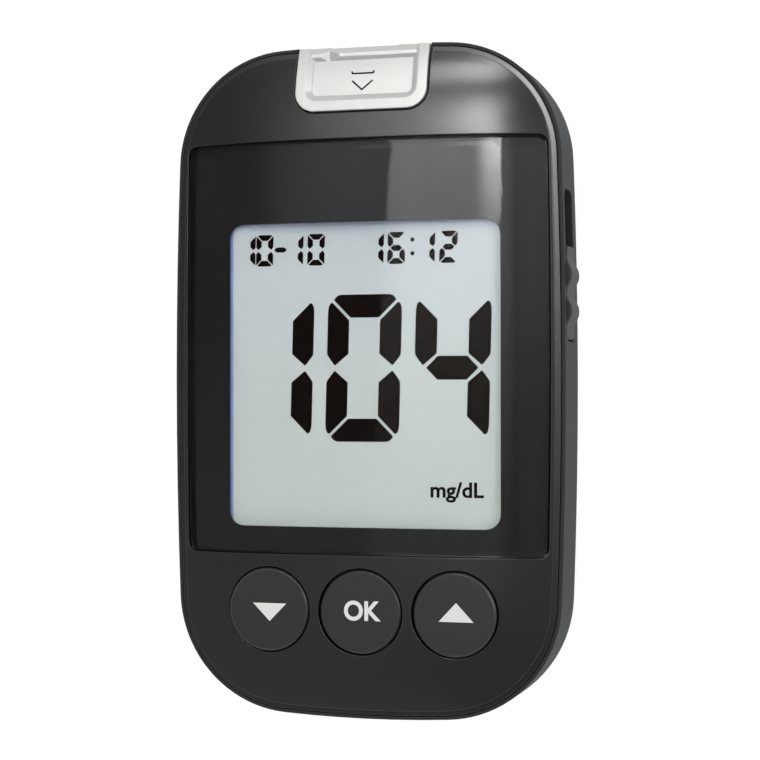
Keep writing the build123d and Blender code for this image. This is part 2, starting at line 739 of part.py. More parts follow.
# Cells and their contacts ---------------------------------------------------------
cell_names = ("cell_upper", "cell_lower")
nub_tip = bay_half_width - nub_gap
plate_face = bay_half_width - contact_thickness
for name, cell_y, side in zip(cell_names, cell_rows, (1, -1)):
    with BuildPart() as cell:
        body_length = cell_length - cell_nub_length
        with Locations((side * (nub_tip - cell_nub_length - body_length / 2), cell_y, cell_axis_height)):
            Cylinder(cell_radius, body_length, rotation=(0, 90, 0))
        chamfer(cell.edges().filter_by(GeomType.CIRCLE), cell_edge)
        with Locations((side * (nub_tip - cell_nub_length), cell_y, cell_axis_height)):
            Cylinder(cell_nub_radius, 2 * cell_nub_length, rotation=(0, 90, 0))
    save(cell, name)

with BuildPart() as battery_plates:
    for cell_y, side in zip(cell_rows, (1, -1)):
        for end in (-1, 1):
            plate_x = sorted((end * plate_face, end * bay_half_width))
            add(
                block(
                    plate_x,
                    (cell_y - contact_width / 2, cell_y + contact_width / 2),
                    (contact_foot, board_underside),
                )
            )
        boss_length = plate_face - nub_tip
        with Locations((side * (nub_tip + boss_length / 2), cell_y, cell_axis_height)):
            Cylinder(cell_nub_radius, boss_length, rotation=(0, 90, 0))
save(battery_plates, "battery_plates")

# Stamped leaf springs that press on the flat ends of the cells
with BuildPart() as battery_springs:
    plate_x = plate_face - contact_thickness / 2
    apex_x = cell_length - nub_tip + contact_thickness / 2
    for cell_y, side in zip(cell_rows, (1, -1)):
        with BuildSketch(Plane.XZ.offset(-cell_y)) as leaf:
            bends = [(plate_x, 4.0), (apex_x + 0.6, 6.2), (apex_x, cell_axis_height)]
            bends += [(apex_x + 0.6, 7.9), (plate_x - 0.6, 10.0)]
            with BuildLine():
                Polyline([(-side * x, z) for x, z in bends])
            trace(line_width=contact_thickness)
        extrude(amount=spring_width / 2, both=True)
save(battery_springs, "battery_springs")

# Screws -----------------------------------------------------------------------------
with BuildPart() as case_screws:
    for x, y in case_screw_places:
        head_face = counterbore_depth - case_head_height
        add(disc(x, y, (head_face, counterbore_depth), case_head_radius))
        add(disc(x, y, (counterbore_depth, case_screw_tip), case_pilot_radius))
        slots = ((cross_half_length, cross_half_width), (cross_half_width, cross_half_length))
        for half_x, half_y in slots:
            slot_x, slot_y = (x - half_x, x + half_x), (y - half_y, y + half_y)
            slot_z = (head_face - 1, head_face + cross_depth)
            add(block(slot_x, slot_y, slot_z), mode=Mode.SUBTRACT)
save(case_screws, "case_screws")

with BuildPart() as board_screws:
    for x, y in board_screw_places:
        add(disc(x, y, (board_underside - board_head_height, board_underside), board_head_radius))
        add(disc(x, y, (board_underside, board_screw_tip), board_pilot_radius))
save(board_screws, "board_screws")
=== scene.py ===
import json
import math

import bmesh
import bpy
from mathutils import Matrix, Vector


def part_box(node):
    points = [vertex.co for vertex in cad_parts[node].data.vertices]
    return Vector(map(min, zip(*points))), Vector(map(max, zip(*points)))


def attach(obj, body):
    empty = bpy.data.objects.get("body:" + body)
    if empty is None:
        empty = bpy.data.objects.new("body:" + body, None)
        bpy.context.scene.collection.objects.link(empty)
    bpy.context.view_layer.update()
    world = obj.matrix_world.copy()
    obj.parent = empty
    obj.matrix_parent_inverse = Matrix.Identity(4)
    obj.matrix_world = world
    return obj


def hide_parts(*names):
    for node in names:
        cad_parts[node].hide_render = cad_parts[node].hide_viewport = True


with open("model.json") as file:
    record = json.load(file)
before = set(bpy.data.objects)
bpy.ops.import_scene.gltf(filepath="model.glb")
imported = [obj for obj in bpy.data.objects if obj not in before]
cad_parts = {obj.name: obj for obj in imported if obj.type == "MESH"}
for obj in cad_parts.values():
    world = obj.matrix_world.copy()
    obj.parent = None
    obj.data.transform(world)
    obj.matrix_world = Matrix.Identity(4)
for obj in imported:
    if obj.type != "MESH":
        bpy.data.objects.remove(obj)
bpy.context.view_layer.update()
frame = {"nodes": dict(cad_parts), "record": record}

# Blood glucose meter, dressed for display. All lengths are in metres unless a comment says otherwise.
# +X is to the right of the display, +Y is towards the strip port, +Z comes out of the display.
MM = 0.001
MM_PER_METRE = 1000.0

# View ---------------------------------------------------------------------------------------
CAMERA_PLACE = (65.994 * MM, -1.721 * MM, 255.677 * MM)
CAMERA_TURN = (math.radians(0.416), math.radians(14.889), math.radians(-0.0614))
SENSOR_WIDTH = 36.0
LENS_LENGTH = 84.157
NEAREST_SEEN = 10 * MM

# Crowned front, which the shell and the lens share ------------------------------------------
CROWN_TOP = 18.4 * MM
CROWN_SIDE_DROP, CROWN_SIDE_REACH = 2.5 * MM, 26.95 * MM
CROWN_END_DROP, CROWN_END_REACH = 2.3 * MM, 18.96 * MM
CROWN_FLAT_HALF_LENGTH = 27.0 * MM
CROWN_POWER = 3.5

# Display lens, and the black print inside it ------------------------------------------------
LENS_END_HALF_WIDTH, LENS_SIDE_BOW, LENS_TOP_BOW = 25.84 * MM, 0.31 * MM, 0.2 * MM
LENS_BOTTOM, LENS_TOP = -24.03 * MM, 33.41 * MM
LENS_CORNER_RADIUS = 1.2 * MM
LENS_THICKNESS = 1.2 * MM
LENS_EDGE = 0.16 * MM  # size of the rounding at its front edge
EDGE_BREAK = 0.3  # where the rounding has its middle ring, as a share of LENS_EDGE
WINDOW_CENTRE = (-0.1 * MM, 0.9 * MM)
WINDOW_SIZE = (39.15 * MM, 42.64 * MM)
WINDOW_CORNER_RADIUS = 2.1 * MM
WINDOW_RINGS, BORDER_RINGS = 14, 8  # rings of faces over the window and over the border round it
SHARP_TURN = math.radians(42)  # faces that meet at more than this keep a sharp edge
PRINT_LIFT = 0.04 * MM  # how far the print's upper side lies inside the back of the lens
PRINT_THICKNESS = 0.025 * MM
PRINT_MARGIN = 0.015 * MM  # clear acrylic left outside the print
EDGE_PRINT_TOP = 0.25 * MM  # how far below the crown the print ends that goes up the lens's wall

# Cells: where the jacket ends and the bare steel begins
JACKET_HALF_LENGTH = 20.2 * MM

# Display film -------------------------------------------------------------------------------
FILM_LOW, FILM_HIGH = -20.0 * MM, 22.0 * MM
FILM_BAND, FILM_TOP, FILM_LEFT = 20.6 * MM, 22.05 * MM, -19.45 * MM
FILM_BAND_SOFTNESS, FILM_SOFTNESS = 0.9 * MM, 0.1 * MM
FILM_GREEN, FILM_BLUE = (0.57, 0.63, 0.59), (0.56, 0.615, 0.635)
# The band's grey is painted shade of the lens's print. The pale edge and the violet are lines along the
# film's top and left edges.
FILM_PAINTED_SHADE, FILM_PALE_EDGE = (0.53, 0.59, 0.66), (0.58, 0.64, 0.88)
FILM_VIOLET = (0.26, 0.34, 0.68)

# Display reading: digits are listed with their right edges in millimetres -------------------
GLASS_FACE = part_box("lcd_front_glass")[1].z
INK_THICKNESS = 0.03 * MM
READING = (("1", -7.54), ("0", 5.21), ("4", 17.92))
READING_DIGITS = {
    "bottom": -8.5 * MM,
    "width": 10.72 * MM,
    "height": 20.65 * MM,
    "stroke": 3.12 * MM,
    "gap": 0.4 * MM,
}
DATE_DIGITS = (("1", -16.06), ("0", -13.42), ("1", -8.96), ("0", -5.81))
TIME_DIGITS = (("1", 2.8), ("6", 5.87), ("1", 10.13), ("2", 13.3))
SMALL_DIGITS = {
    "bottom": 16.33 * MM,
    "width": 2.52 * MM,
    "height": 4.45 * MM,
    "stroke": 0.78 * MM,
    "gap": 0.15 * MM,
    "rounding": 0.4,
}
DASH_CENTRE = (-12.33 * MM, 18.63 * MM)
DASH_OUTLINE = ((-0.95, 0), (-0.55, -0.36), (0.55, -0.36), (0.95, 0), (0.55, 0.36), (-0.55, 0.36))  # in mm
COLON_X, COLON_HEIGHTS, COLON_RADIUS = 6.92 * MM, (17.76 * MM, 19.67 * MM), 0.3 * MM
UNIT_CENTRE = (13.15 * MM, -15.2 * MM)
UNIT_CAPITALS, UNIT_STRETCH, UNIT_WEIGHT = 2.15 * MM, 1.04, 0.07 * MM

# Segments of a digit, as shares of their stroke ---------------------------------------------
DIGIT_SLANT = 0.026  # lean to the right, per height
LIT_SEGMENTS = {
    "0": "abcdef",
    "1": "bc",
    "2": "abged",
    "4": "fgbc",
    "6": "afgedc",
}
SKEW = 0.07  # how far the cut between the top and an upright lies below the digit's diagonal
TIP_CLEARANCE = 0.9  # from an upright's tip to the digit's middle, as a share of the gap
MITRE_SHARE = 0.707  # of the gap, along each axis
UPRIGHT_CORNER = ((0, 0.75), (0.03, 0.35), (0.2, 0.2))  # start, corner and end of its curve
UPRIGHT_TIP = ((0.38, 0), (0.2, 0.2), (0, 0.5))  # the same, measured up from the tip
UPRIGHT_SHOULDER = 0.53  # where its inner side ends, measured up from the tip
TOP_CORNER = ((0.27, 0.27), (0.38, 0.02), (0.6, 0))
TOP_INSET, TOP_DEPTH = 0.97, 1.04  # the ends and the depth of its lower side
BAR_TIP, BAR_SHOULDER, BAR_HALF_DEPTH = 0.535, 1.05, 0.53  # the middle bar

# Key legends, from the middle of each key ---------------------------------------------------
KEY_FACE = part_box("button_ok")[1].z
LEGEND_THICKNESS = 0.02 * MM
TRIANGLE_HALF_WIDTH = 2.45 * MM
DOWN_SHIFT, DOWN_BASE, DOWN_TIP = 0.13 * MM, 0.88 * MM, -1.64 * MM
UP_SHIFT, UP_BASE, UP_TIP = 0.25 * MM, -0.97 * MM, 1.67 * MM
LETTERS_SHIFT = (0.15 * MM, 0.03 * MM)
LETTERS_CAPITALS, LETTERS_STRETCH, LETTERS_WEIGHT = 2.7 * MM, 0.93, 0.11 * MM
CAPITAL_SHARE = 0.73  # height of a capital for a font size of 1

# Insertion mark in the strip port: its lines in millimetres ---------------------------------
MARK_BAR = ((-1.62, 43.38), (-1.5, 43.05), (1.5, 43.05), (1.58, 43.4))
MARK_HEAD = ((-1.48, 41.98), (0.0, 40.66), (1.48, 41.98))
MARK_STROKE, MARK_DEPTH = 0.24 * MM, 0.02 * MM
MITRE_LIMIT = 0.3  # keeps a line's sharp corner from growing too wide
OVER_TRAY = 30 * MM  # a height above the whole object

# Studio -------------------------------------------------------------------------------------
WORLD_GREY = 0.8
FLOOR_REACH = 3.0
FLOOR_PLACE = -0.05 * MM
FLOOR_GREY = 0.92
FLOOR_GLOW, FLOOR_GLOW_SHARE = 1.15, 0.8

# Cards over the object, which only its gloss mirrors. Their lengths are in millimetres.
# corners: the card's outline in plan. height: how far it is above the rest plane.
# glow, fade: the glow goes from the first value to the second over this stretch of Y.
# sides: dims it towards one side, to the share that is left there.
# streak: adds a bright band, which rises from one X to another and grows with Y up to its far glow.
CARDS = {
    "dark_ceiling": {
        "corners": ((-1700, -750), (1700, -750), (1700, 750), (-1700, 750)),
        "height": 440,
        "glow": (0.2, 0.75),
        "fade": (-60, 120),
        "sides": {"dim_x": -270, "full_x": -120, "share_left": 0.24},
    },
    "display_softbox": {
        "corners": ((-104, -62), (58, -62), (58, 116), (-90, 116)),
        "height": 400,
        "glow": (0.4, 3.2),
        "fade": (-62, 116),
        "streak": {"start_x": 0, "full_x": 40, "foot_y": 38, "far_glow": 11.0},
    },
    "softbox_tail": {
        "corners": ((58, -62), (100, -62), (100, 116), (58, 116)),
        "height": 400,
        "glow": (0.3, 1.6),
        "fade": (-62, 116),
        "sides": {"dim_x": 100, "full_x": 62, "share_left": 0.45},
    },
    "dark_side": {
        "corners": ((58, 116), (700, 116), (700, 430), (58, 430)),
        "height": 420,
        "glow": (0.25, 0.25),
        "fade": (-60, 120),
    },
    "side_panel": {
        "corners": ((100, -62), (700, -62), (700, 116), (100, 116)),
        "height": 420,
        "glow": (0.3, 0.88),
        "fade": (-40, 116),
    },
    "left_low": {
        "corners": ((-1700, -750), (-75, -750), (-75, 60), (-1700, 60)),
        "height": 420,
        "glow": (0.3, 0.13),
        "fade": (-100, 60),
    },
    "near_lobe": {
        "corners": ((-110, 118), (52, 118), (46, 205), (-110, 205)),
        "height": 400,
        "glow": (19.0, 12.0),
        "fade": (118, 205),
        "sides": {"dim_x": -60, "full_x": 20, "share_left": 0.2},
    },
    "far_lobe": {
        "corners": ((-110, 300), (58, 300), (50, 430), (-110, 430)),
        "height": 400,
        "glow": (14.0, 14.0),
        "fade": (300, 430),
        "sides": {"dim_x": -110, "full_x": 0, "share_left": 0.3},
    },
}

# A card on edge beside the object, which brightens the seam's lip
LIP_STRIP = {"start": (420, 0, 180), "end": (420, 260, 180), "rise": 220, "glow": 9.0}


# Node helpers -------------------------------------------------------------------------------
def set_inputs(node, values):
    """Gives a node's inputs plain values, by name."""
    for label, value in values.items():
        node.inputs[label].default_value = value


def feed(tree, socket, value):
    """Gives a socket a link, or a plain value."""
    if isinstance(value, bpy.types.NodeSocket):
        tree.links.new(value, socket)
    else:
        socket.default_value = value


def math_node(tree, operation, first, second, clamp=False):
    """A Math node whose two inputs are sockets or plain numbers."""
    node = tree.nodes.new("ShaderNodeMath")
    node.operation = operation
    node.use_clamp = clamp
    feed(tree, node.inputs[0], first)
    feed(tree, node.inputs[1], second)
    return node.outputs[0]


def past(tree, value, start, end, low=0.0, high=1.0):
    """A soft step: low at start, high at end."""
    step = tree.nodes.new("ShaderNodeMapRange")
    step.interpolation_type = "SMOOTHSTEP"
    set_inputs(step, {"From Min": start, "From Max": end, "To Min": low, "To Max": high})
    tree.links.new(value, step.inputs["Value"])
    return step.outputs["Result"]


def mix_colours(tree, mask, low, high):
    """A colour that goes from one to another with a mask."""
    mix = tree.nodes.new("ShaderNodeMix")
    mix.data_type = "RGBA"
    tree.links.new(mask, mix.inputs["Factor"])
    for socket, colour in ((mix.inputs["A"], low), (mix.inputs["B"], high)):
        feed(tree, socket, colour if isinstance(colour, bpy.types.NodeSocket) else (*colour, 1.0))
    return mix.outputs["Result"]


def mix_shaders(tree, share, first, second):
    """The first shader where the share is 0, and the second where it is 1."""
    mix = tree.nodes.new("ShaderNodeMixShader")
    tree.links.new(share, mix.inputs["Fac"])
    tree.links.new(first, mix.inputs[1])
    tree.links.new(second, mix.inputs[2])
    return mix.outputs["Shader"]


def object_place(tree):
    """The place on the object, as a vector."""
    return tree.nodes.new("ShaderNodeTexCoord").outputs["Object"]


def object_axes(tree):
    """X and Y of the place on the object."""
    split = tree.nodes.new("ShaderNodeSeparateXYZ")
    tree.links.new(object_place(tree), split.inputs["Vector"])
    return split.outputs["X"], split.outputs["Y"]


def noise(tree, scale, detail):
    """Noise over the object, whose scale is a socket or a plain number."""
    texture = tree.nodes.new("ShaderNodeTexNoise")
    texture.inputs["Detail"].default_value = detail
    feed(tree, texture.inputs["Scale"], scale)
    tree.links.new(object_place(tree), texture.inputs["Vector"])
    return texture.outputs["Fac"]


# Materials: shared effects ------------------------------------------------------------------
def new_group(name, inputs, outputs):
    """A shader node group with named inputs (name, type, value) and outputs (name, type)."""
    group = bpy.data.node_groups.new(name, "ShaderNodeTree")
    for label, kind, value in inputs:
        socket = group.interface.new_socket(name=label, in_out="INPUT", socket_type=kind)
        socket.default_value = value
    for label, kind in outputs:
        group.interface.new_socket(name=label, in_out="OUTPUT", socket_type=kind)
    entry = group.nodes.new("NodeGroupInput")
    leave = group.nodes.new("NodeGroupOutput")
    return group, entry, leave


def moulded_grain():
    """Fine spark-eroded grain of a moulding tool: a height, and a roughness that drifts a little.
    The size of the grain is in millimetres."""
    group, entry, leave = new_group(
        "moulded_grain",
        [
            ("Grain Size", "NodeSocketFloat", 0.25),
            ("Roughness", "NodeSocketFloat", 0.4),
            ("Variation", "NodeSocketFloat", 0.06),
        ],
        [("Height", "NodeSocketFloat"), ("Roughness", "NodeSocketFloat")],
    )
    per_metre = math_node(group, "DIVIDE", MM_PER_METRE, entry.outputs["Grain Size"])
    group.links.new(noise(group, per_metre, detail=3.0), leave.inputs["Height"])
    centred = math_node(group, "SUBTRACT", noise(group, scale=60.0, detail=4.0), 0.5)
    swing = math_node(group, "MULTIPLY", centred, entry.outputs["Variation"])
    total = math_node(group, "ADD", entry.outputs["Roughness"], swing)
    group.links.new(total, leave.inputs["Roughness"])
    return group


def soft_edge():
    """Edges as a moulding has them: a normal that rolls over them, and a mask of their crests, where a
    painted highlight goes.
    """
    group, entry, leave = new_group(
        "soft_edge",
        [("Radius", "NodeSocketFloat", 0.0002), ("Highlight Level", "NodeSocketFloat", 0.2)],
        [("Normal", "NodeSocketVector"), ("Edge Highlight", "NodeSocketFloat")],
    )
    nodes, links = group.nodes, group.links
    rolled = nodes.new("ShaderNodeBevel")
    rolled.samples = 6
    links.new(entry.outputs["Radius"], rolled.inputs["Radius"])
    links.new(rolled.outputs["Normal"], leave.inputs["Normal"])
    surface = nodes.new("ShaderNodeNewGeometry")
    agreement = nodes.new("ShaderNodeVectorMath")
    agreement.operation = "DOT_PRODUCT"
    links.new(rolled.outputs["Normal"], agreement.inputs[0])
    links.new(surface.outputs["Normal"], agreement.inputs[1])
    # Where the rolled normal turns away from the true one: the mask for a painted highlight along the edges.
    turned = math_node(group, "SUBTRACT", 1.0, agreement.outputs["Value"], clamp=True)
    highlight_mask = math_node(group, "MULTIPLY", turned, entry.outputs["Highlight Level"], clamp=True)
    links.new(highlight_mask, leave.inputs["Edge Highlight"])
    return group


GRAIN = moulded_grain()
EDGE = soft_edge()


# Materials: kinds of finish -----------------------------------------------------------------
def bare_material(name):
    """A node material that holds only its output."""
    material = bpy.data.materials.new(name)
    material.use_nodes = True
    tree = material.node_tree
    tree.nodes.clear()
    return material, tree, tree.nodes.new("ShaderNodeOutputMaterial")


def new_material(name):
    """A node material with its output and a Principled shader."""
    material, tree, output = bare_material(name)
    shader = tree.nodes.new("ShaderNodeBsdfPrincipled")
    tree.links.new(shader.outputs["BSDF"], output.inputs["Surface"])
    return material, tree, shader


def place_group(tree, group, values):
    """A group placed in a material, with its inputs set by name."""
    node = tree.nodes.new("ShaderNodeGroup")
    node.node_tree = group
    set_inputs(node, values)
    return node


def moulded_plastic(
    name,
    colour,
    edge_highlight_colour,
    roughness,
    grain_size,
    grain_depth,
    edge_radius,
    highlight_strength,
    metallic=0.0,
    specular=0.5,
):
    """Moulded or painted plastic: fine grain, slightly uneven gloss, and softly rolled edges whose crests
    are lightened as a painted highlight.
    """
    material, tree, shader = new_material(name)
    grain = place_group(tree, GRAIN, {"Grain Size": grain_size, "Roughness": roughness})
    edge = place_group(tree, EDGE, {"Radius": edge_radius, "Highlight Level": highlight_strength})
    bump = tree.nodes.new("ShaderNodeBump")
    set_inputs(bump, {"Strength": 1.0, "Distance": grain_depth})
    tree.links.new(grain.outputs["Height"], bump.inputs["Height"])
    tree.links.new(edge.outputs["Normal"], bump.inputs["Normal"])
    tree.links.new(bump.outputs["Normal"], shader.inputs["Normal"])
    tree.links.new(grain.outputs["Roughness"], shader.inputs["Roughness"])
    # Painted highlight: the crests of the edges are lightened in the base colour.
    highlighted = mix_colours(tree, edge.outputs["Edge Highlight"], colour, edge_highlight_colour)
    tree.links.new(highlighted, shader.inputs["Base Color"])
    set_inputs(shader, {"Metallic": metallic, "Specular IOR Level": specular})
    return material


def plain_finish(name, colour, roughness, metallic=0.0, tint=0.12, speck_size=0.6, specular=0.5):
    """A finish whose colour drifts a little, as foil, laminate, rubber and bare metal do.
    The size of its specks is in millimetres."""
    material, tree, shader = new_material(name)
    darker = tuple(channel * (1.0 - tint) for channel in colour)
    lighter = tuple(min(1.0, channel * (1.0 + tint)) for channel in colour)
    drift = noise(tree, MM_PER_METRE / speck_size, detail=4.0)
    tree.links.new(mix_colours(tree, drift, darker, lighter), shader.inputs["Base Color"])
    grain = place_group(tree, GRAIN, {"Grain Size": speck_size, "Roughness": roughness})
    tree.links.new(grain.outputs["Roughness"], shader.inputs["Roughness"])
    set_inputs(shader, {"Metallic": metallic, "Specular IOR Level": specular})
    return material


def ink(name, colour, roughness):
    """Matt ink, with nothing mirrored in it."""
    material, tree, shader = new_material(name)
    grain = place_group(tree, GRAIN, {"Grain Size": 0.3, "Roughness": roughness})
    tree.links.new(grain.outputs["Roughness"], shader.inputs["Roughness"])
    set_inputs(shader, {"Base Color": (*colour, 1.0), "Specular IOR Level": 0.0})
    return material


def clear_acrylic():
    """The lens: clear acrylic with a coating against glare, which lets lamps through to the display."""
    material, tree, shader = new_material("clear_acrylic")
    white = (1.0, 1.0, 1.0, 1.0)
    set_inputs(shader, {"Base Color": white, "Roughness": 0.02, "IOR": 1.16, "Transmission Weight": 1.0})
    rays = tree.nodes.new("ShaderNodeLightPath")
    clear = tree.nodes.new("ShaderNodeBsdfTransparent")
    surface = mix_shaders(tree, rays.outputs["Is Shadow Ray"], shader.outputs["BSDF"], clear.outputs["BSDF"])
    tree.links.new(surface, tree.nodes["Material Output"].inputs["Surface"])
    return material


def mask_print():
    """Deep black gloss print inside the lens, with a faint cloud in its colour."""
    material, tree, shader = new_material("mask_print")
    cloud = place_group(tree, GRAIN, {"Grain Size": 4.0, "Roughness": 0.03, "Variation": 0.01})
    darker, lighter = (0.0095, 0.0105, 0.0095), (0.0125, 0.013, 0.012)
    tree.links.new(mix_colours(tree, cloud.outputs["Height"], darker, lighter), shader.inputs["Base Color"])
    tree.links.new(cloud.outputs["Roughness"], shader.inputs["Roughness"])
    return material


def lcd_film():
    """The display's pale polariser, with a band along its top darkened as painted shade of the lens's print,
    a pale blue line along its top edge and a violet line along its left edge.
    """
    material, tree, shader = new_material("lcd_film")
    across, along = object_axes(tree)
    colour = mix_colours(tree, past(tree, along, FILM_LOW, FILM_HIGH), FILM_GREEN, FILM_BLUE)
    # Painted shade: the band along the film's top is darkened where the lens's print shadows it.
    band = past(tree, along, FILM_BAND, FILM_BAND + FILM_BAND_SOFTNESS)
    colour = mix_colours(tree, band, colour, FILM_PAINTED_SHADE)
    top_edge = past(tree, along, FILM_TOP, FILM_TOP + FILM_SOFTNESS)
    colour = mix_colours(tree, top_edge, colour, FILM_PALE_EDGE)
    left_edge = past(tree, across, FILM_LEFT + FILM_SOFTNESS, FILM_LEFT)
    colour = mix_colours(tree, left_edge, colour, FILM_VIOLET)
    tree.links.new(colour, shader.inputs["Base Color"])
    set_inputs(shader, {"Roughness": 0.06, "Specular IOR Level": 0.4})
    return material


def cell_jacket():
    """A plain dark jacket between the bright steel ends of a cell."""
    material, tree, shader = new_material("cell_jacket")
    across, _ = object_axes(tree)
    from_middle = math_node(tree, "ABSOLUTE", across, 0.0)
    at_end = math_node(tree, "GREATER_THAN", from_middle, JACKET_HALF_LENGTH)
    jacket, steel = (0.05, 0.055, 0.06), (0.62, 0.62, 0.6)
    tree.links.new(mix_colours(tree, at_end, jacket, steel), shader.inputs["Base Color"])
    tree.links.new(at_end, shader.inputs["Metallic"])
    shader.inputs["Roughness"].default_value = 0.3
    return material


# Materials: this object's finishes, by the slots of its record ------------------------------
# Each moulded finish has a lighter edge colour and a strength for it: a painted highlight along its edges.
FINISHES = {
    "charcoal_plastic": moulded_plastic(
        "charcoal_paint",
        colour=(0.0148, 0.0154, 0.0168),
        edge_highlight_colour=(0.2, 0.2, 0.205),
        roughness=0.23,
        grain_size=0.22,
        grain_depth=0.005 * MM,
        edge_radius=0.12 * MM,
        highlight_strength=1.6,
        specular=0.65,
    ),
    "grey_plastic": moulded_plastic(
        "grey_casing",
        colour=(0.028, 0.0305, 0.033),
        edge_highlight_colour=(0.16, 0.165, 0.17),
        roughness=0.6,
        grain_size=0.25,
        grain_depth=0.008 * MM,
        edge_radius=0.2 * MM,
        highlight_strength=0.6,
        specular=0.16,
    ),
    "clear_acrylic": clear_acrylic(),
    "black_mask": plain_finish("black_mask", (0.004, 0.0042, 0.004), 0.6, tint=0.05, specular=0.05),
    "lcd_film": lcd_film(),
    "lcd_glass": plain_finish("lcd_glass", (0.55, 0.58, 0.56), 0.2),
    "lcd_foil": plain_finish("lcd_foil", (0.62, 0.65, 0.63), 0.45),
    "black_moulding": plain_finish("black_moulding", (0.02, 0.02, 0.02), 0.5),
    "silicone": plain_finish("silicone", (0.3, 0.31, 0.32), 0.7),
    "board_laminate": plain_finish("board_laminate", (0.02, 0.12, 0.05), 0.35),
    "chip_epoxy": plain_finish("chip_epoxy", (0.018, 0.018, 0.02), 0.55),
    "bright_steel": plain_finish("bright_steel", (0.62, 0.62, 0.6), 0.28, metallic=1.0),
    "key_plastic": moulded_plastic(
        "key_plastic",
        colour=(0.021, 0.0235, 0.0215),
        edge_highlight_colour=(0.3, 0.3, 0.295),
        roughness=0.38,
        grain_size=0.2,
        grain_depth=0.004 * MM,
        edge_radius=0.15 * MM,
        highlight_strength=1.6,
    ),
    "silver_lacquer": moulded_plastic(
        "silver_lacquer",
        colour=(0.62, 0.62, 0.605),
        edge_highlight_colour=(0.97, 0.97, 0.95),
        roughness=0.44,
        grain_size=0.12,
        grain_depth=0.004 * MM,
        edge_radius=0.22 * MM,
        highlight_strength=1.4,
        metallic=0.42,
    ),
    "gold_plate": plain_finish("gold_plate", (0.8, 0.56, 0.22), 0.25, metallic=1.0),
    "slider_plastic": moulded_plastic(
        "slider_grey",
        colour=(0.036, 0.039, 0.043),
        edge_highlight_colour=(0.26, 0.26, 0.265),
        roughness=0.5,
        grain_size=0.2,
        grain_depth=0.006 * MM,
        edge_radius=0.2 * MM,
        highlight_strength=0.8,
        specular=0.15,
    ),
    "white_acetal": plain_finish("white_acetal", (0.72, 0.72, 0.7), 0.4),
    "cell_jacket": cell_jacket(),
}
# Dark ink for the display's segments. The strip port's mark uses it too, as painted shade of an engraved
# mark.
DARK_INK_AND_GROOVE_SHADE = ink("dark_ink_and_groove_shade", (0.006, 0.0035, 0.003), 0.6)
KEY_PRINT = ink("key_print", (0.92, 0.91, 0.90), 0.5)


def dress_nodes():
    """Every CAD node takes the finish of its slot."""
    for part in frame["record"]["subparts"]:
        node = frame["nodes"][part["node"]]
        node.data.materials.clear()
        node.data.materials.append(FINISHES[part["material_slot"]])


# Pieces -------------------------------------------------------------------------------------
def link_object(name, data):
    """An object of the scene that holds the given data."""
    new_object = bpy.data.objects.new(name, data)
    bpy.context.scene.collection.objects.link(new_object)
    return new_object


def closed_mesh(name, mesh):
    """Mesh data from a finished bmesh of closed solids, with its faces turned outwards."""
    bmesh.ops.recalc_face_normals(mesh, faces=mesh.faces)
    data = bpy.data.meshes.new(name)
    mesh.to_mesh(data)
    mesh.free()
    return data


def add_piece(name, data, material, body):
    """A visible piece of the object, which rides a body and stands in a material slot."""
    piece = link_object(name, data)
    data.materials.clear()
    data.materials.append(material)
    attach(piece, body)
    return piece


def join_rings(mesh, first, second):
    """Faces all the way round between two rings of as many vertices."""
    for index in range(len(first)):
        after = (index + 1) % len(first)
        mesh.faces.new((first[index], first[after], second[after], second[index]))


def flat_pieces(name, outlines, floor, thickness, material, slot, body):
    """One piece made of thin plates: each outline is a list of points, raised from a floor."""
    mesh = bmesh.new()
    for outline in outlines:
        lower = [mesh.verts.new((x, y, floor)) for x, y in outline]
        upper = [mesh.verts.new((x, y, floor + thickness)) for x, y in outline]
        mesh.faces.new(lower[::-1])
        mesh.faces.new(upper)
        join_rings(mesh, lower, upper)
    return add_piece(name, closed_mesh(name, mesh), material, body)


def lettering(name, words, centre, capitals, stretch, weight, floor, thickness, material, slot, body):
    """Plain sans lettering as a thin solid, centred, with capitals of the given height."""
    curve = bpy.data.curves.new(name, "FONT")
    curve.body = words
    curve.align_x = "CENTER"
    curve.align_y = "CENTER"
    curve.size = capitals / CAPITAL_SHARE
    curve.offset = weight
    curve.extrude = thickness / 2
    curve.resolution_u = 6
    writing = link_object(name + "_curve", curve)
    writing.location = (*centre, floor + thickness / 2)
    writing.scale = (stretch, 1, 1)
    bpy.context.view_layer.update()
    data = bpy.data.meshes.new_from_object(writing)
    data.transform(writing.matrix_world)
    bpy.data.objects.remove(writing)
    return add_piece(name, data, material, body)


def ring_piece(name, rings, capped, material, body):
    """A smooth piece from rings of points in space, joined in order. Its two end rings are capped,
    or else its last ring joins its first round an open middle."""
    mesh = bmesh.new()
    rows = [[mesh.verts.new(point) for point in ring] for ring in rings]
    pairs = list(zip(rows, rows[1:]))
    if not capped:
        pairs.append((rows[-1], rows[0]))
    for row, following in pairs:
        join_rings(mesh, row, following)
    if capped:
        for row in (rows[0], rows[-1]):
            middle = mesh.verts.new(sum((vert.co for vert in row), Vector()) / len(row))
            for index in range(len(row)):
                mesh.faces.new((row[index], row[(index + 1) % len(row)], middle))
    data = closed_mesh(name, mesh)
    data.polygons.foreach_set("use_smooth", [True] * len(data.polygons))
    data.set_sharp_from_angle(angle=SHARP_TURN)
    return add_piece(name, data, material, body)


# Lens and the print inside it ---------------------------------------------------------------
def crown_height(x, y):
    """Height of the crowned front at a place."""
    across = abs(x) / CROWN_SIDE_REACH
    along = max(abs(y) - CROWN_FLAT_HALF_LENGTH, 0) / CROWN_END_REACH
    return CROWN_TOP - CROWN_SIDE_DROP * across**CROWN_POWER - CROWN_END_DROP * along**CROWN_POWER


def on_crown(ring, drop):
    """A ring of plan points laid on the crown, lowered by a drop."""
    return [(x, y, crown_height(x, y) - drop) for x, y in ring]


